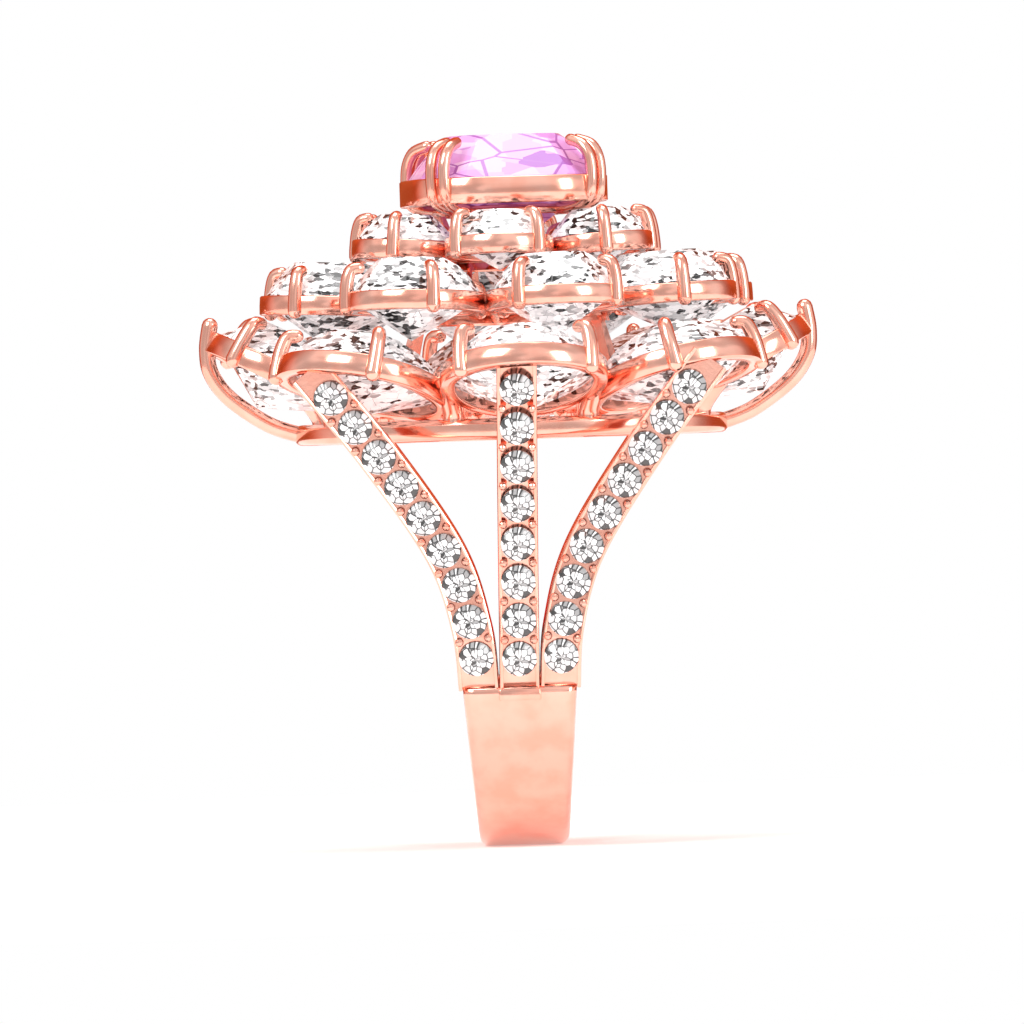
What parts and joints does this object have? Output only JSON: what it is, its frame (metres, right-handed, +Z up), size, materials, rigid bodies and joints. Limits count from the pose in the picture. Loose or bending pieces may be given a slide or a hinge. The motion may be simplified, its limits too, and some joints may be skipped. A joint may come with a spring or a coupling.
{
  "type": "cocktail ring",
  "caption": "Cocktail ring with a raised cushion centre stone over stepped rows of petal stones, on stone-set split arms and a plain band.",
  "frame": {"origin": "centre of the finger hole", "axes": "+X along the finger, +Z up through the centre stone, -Y towards the front arms"},
  "size_m": [0.029, 0.0284, 0.0332],
  "materials": {
    "rose_gold": "polished",
    "clear_stone": "faceted",
    "pink_stone": "faceted"
  },
  "bodies": {
    "root": {"back_centre_arm": "rose_gold", "back_left_arm": "rose_gold", "back_pave_stones": "clear_stone", "back_right_arm": "rose_gold", "base_rail": "rose_gold", "centre_basket": "rose_gold", "centre_stone": "pink_stone", "front_centre_arm": "rose_gold", "front_left_arm": "rose_gold", "front_pave_stones": "clear_stone", "front_right_arm": "rose_gold", "left_side_wire": "rose_gold", "lower_collet_1": "rose_gold", "lower_collet_2": "rose_gold", "lower_collet_3": "rose_gold", "lower_collet_4": "rose_gold", "lower_collet_5": "rose_gold", "lower_collet_6": "rose_gold", "lower_collet_7": "rose_gold", "lower_collet_8": "rose_gold", "lower_stone_1": "clear_stone", "lower_stone_2": "clear_stone", "lower_stone_3": "clear_stone", "lower_stone_4": "clear_stone", "lower_stone_5": "clear_stone", "lower_stone_6": "clear_stone", "lower_stone_7": "clear_stone", "lower_stone_8": "clear_stone", "middle_collet_1": "rose_gold", "middle_collet_2": "rose_gold", "middle_collet_3": "rose_gold", "middle_collet_4": "rose_gold", "middle_collet_5": "rose_gold", "middle_collet_6": "rose_gold", "middle_collet_7": "rose_gold", "middle_collet_8": "rose_gold", "middle_stone_1": "clear_stone", "middle_stone_2": "clear_stone", "middle_stone_3": "clear_stone", "middle_stone_4": "clear_stone", "middle_stone_5": "clear_stone", "middle_stone_6": "clear_stone", "middle_stone_7": "clear_stone", "middle_stone_8": "clear_stone", "right_side_wire": "rose_gold", "shank_band": "rose_gold", "tier_core": "rose_gold", "upper_collet_1": "rose_gold", "upper_collet_2": "rose_gold", "upper_collet_3": "rose_gold", "upper_collet_4": "rose_gold", "upper_collet_5": "rose_gold", "upper_collet_6": "rose_gold", "upper_stone_1": "clear_stone", "upper_stone_2": "clear_stone", "upper_stone_3": "clear_stone", "upper_stone_4": "clear_stone", "upper_stone_5": "clear_stone", "upper_stone_6": "clear_stone"}
  },
  "joints": []
}
